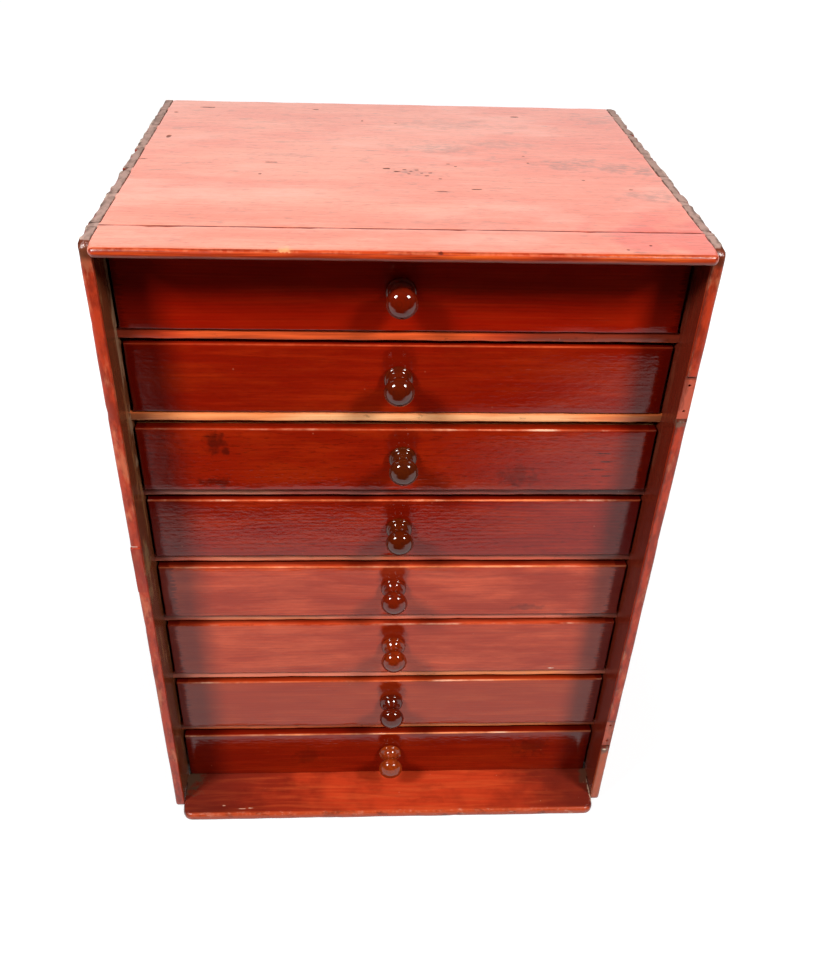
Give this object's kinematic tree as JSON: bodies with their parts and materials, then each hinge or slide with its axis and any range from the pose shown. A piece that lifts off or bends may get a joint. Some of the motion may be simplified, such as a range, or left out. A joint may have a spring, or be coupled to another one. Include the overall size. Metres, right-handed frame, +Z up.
{
  "type": "collectors cabinet",
  "caption": "Stained and varnished pine table cabinet with a column of shallow knobbed drawers behind a recessed open front, for keeping collected specimens.",
  "frame": {"origin": "middle of the footprint, on the floor", "axes": "+Z up, +X to the right seen from the front, -Y out of the front, the way the drawers open"},
  "size_m": [0.43, 0.3656, 0.5971],
  "materials": {
    "side_wood": "gloss",
    "top_wood": "gloss",
    "bottom_wood": "gloss",
    "back_wood": "matte",
    "divider_wood": "gloss",
    "front_wood": "gloss",
    "knob_wood": "gloss",
    "lining_wood": "matte"
  },
  "bodies": {
    "case": {"side_left": "side_wood", "side_right": "side_wood", "top_board": "top_wood", "bottom_board": "bottom_wood", "back_board": "back_wood", "divider_1": "divider_wood", "divider_2": "divider_wood", "divider_3": "divider_wood", "divider_4": "divider_wood", "divider_5": "divider_wood", "divider_6": "divider_wood", "divider_7": "divider_wood"},
    "drawer_1": {"drawer_1_front": "front_wood", "drawer_1_side_left": "lining_wood", "drawer_1_side_right": "lining_wood", "drawer_1_back": "lining_wood", "drawer_1_bottom": "lining_wood", "drawer_1_knob": "knob_wood"},
    "drawer_2": {"drawer_2_front": "front_wood", "drawer_2_side_left": "lining_wood", "drawer_2_side_right": "lining_wood", "drawer_2_back": "lining_wood", "drawer_2_bottom": "lining_wood", "drawer_2_knob": "knob_wood"},
    "drawer_3": {"drawer_3_front": "front_wood", "drawer_3_side_left": "lining_wood", "drawer_3_side_right": "lining_wood", "drawer_3_back": "lining_wood", "drawer_3_bottom": "lining_wood", "drawer_3_knob": "knob_wood"},
    "drawer_4": {"drawer_4_front": "front_wood", "drawer_4_side_left": "lining_wood", "drawer_4_side_right": "lining_wood", "drawer_4_back": "lining_wood", "drawer_4_bottom": "lining_wood", "drawer_4_knob": "knob_wood"},
    "drawer_5": {"drawer_5_front": "front_wood", "drawer_5_side_left": "lining_wood", "drawer_5_side_right": "lining_wood", "drawer_5_back": "lining_wood", "drawer_5_bottom": "lining_wood", "drawer_5_knob": "knob_wood"},
    "drawer_6": {"drawer_6_front": "front_wood", "drawer_6_side_left": "lining_wood", "drawer_6_side_right": "lining_wood", "drawer_6_back": "lining_wood", "drawer_6_bottom": "lining_wood", "drawer_6_knob": "knob_wood"},
    "drawer_7": {"drawer_7_front": "front_wood", "drawer_7_side_left": "lining_wood", "drawer_7_side_right": "lining_wood", "drawer_7_back": "lining_wood", "drawer_7_bottom": "lining_wood", "drawer_7_knob": "knob_wood"},
    "drawer_8": {"drawer_8_front": "front_wood", "drawer_8_side_left": "lining_wood", "drawer_8_side_right": "lining_wood", "drawer_8_back": "lining_wood", "drawer_8_bottom": "lining_wood", "drawer_8_knob": "knob_wood"}
  },
  "joints": [
    {"name": "drawer_1_slide", "type": "slide", "parent": "case", "child": "drawer_1", "axis": [0, -1, 0], "range_m": [0, 0.25]},
    {"name": "drawer_2_slide", "type": "slide", "parent": "case", "child": "drawer_2", "axis": [0, -1, 0], "range_m": [0, 0.25]},
    {"name": "drawer_3_slide", "type": "slide", "parent": "case", "child": "drawer_3", "axis": [0, -1, 0], "range_m": [0, 0.25]},
    {"name": "drawer_4_slide", "type": "slide", "parent": "case", "child": "drawer_4", "axis": [0, -1, 0], "range_m": [0, 0.25]},
    {"name": "drawer_5_slide", "type": "slide", "parent": "case", "child": "drawer_5", "axis": [0, -1, 0], "range_m": [0, 0.25]},
    {"name": "drawer_6_slide", "type": "slide", "parent": "case", "child": "drawer_6", "axis": [0, -1, 0], "range_m": [0, 0.25]},
    {"name": "drawer_7_slide", "type": "slide", "parent": "case", "child": "drawer_7", "axis": [0, -1, 0], "range_m": [0, 0.25]},
    {"name": "drawer_8_slide", "type": "slide", "parent": "case", "child": "drawer_8", "axis": [0, -1, 0], "range_m": [0, 0.25]}
  ]
}
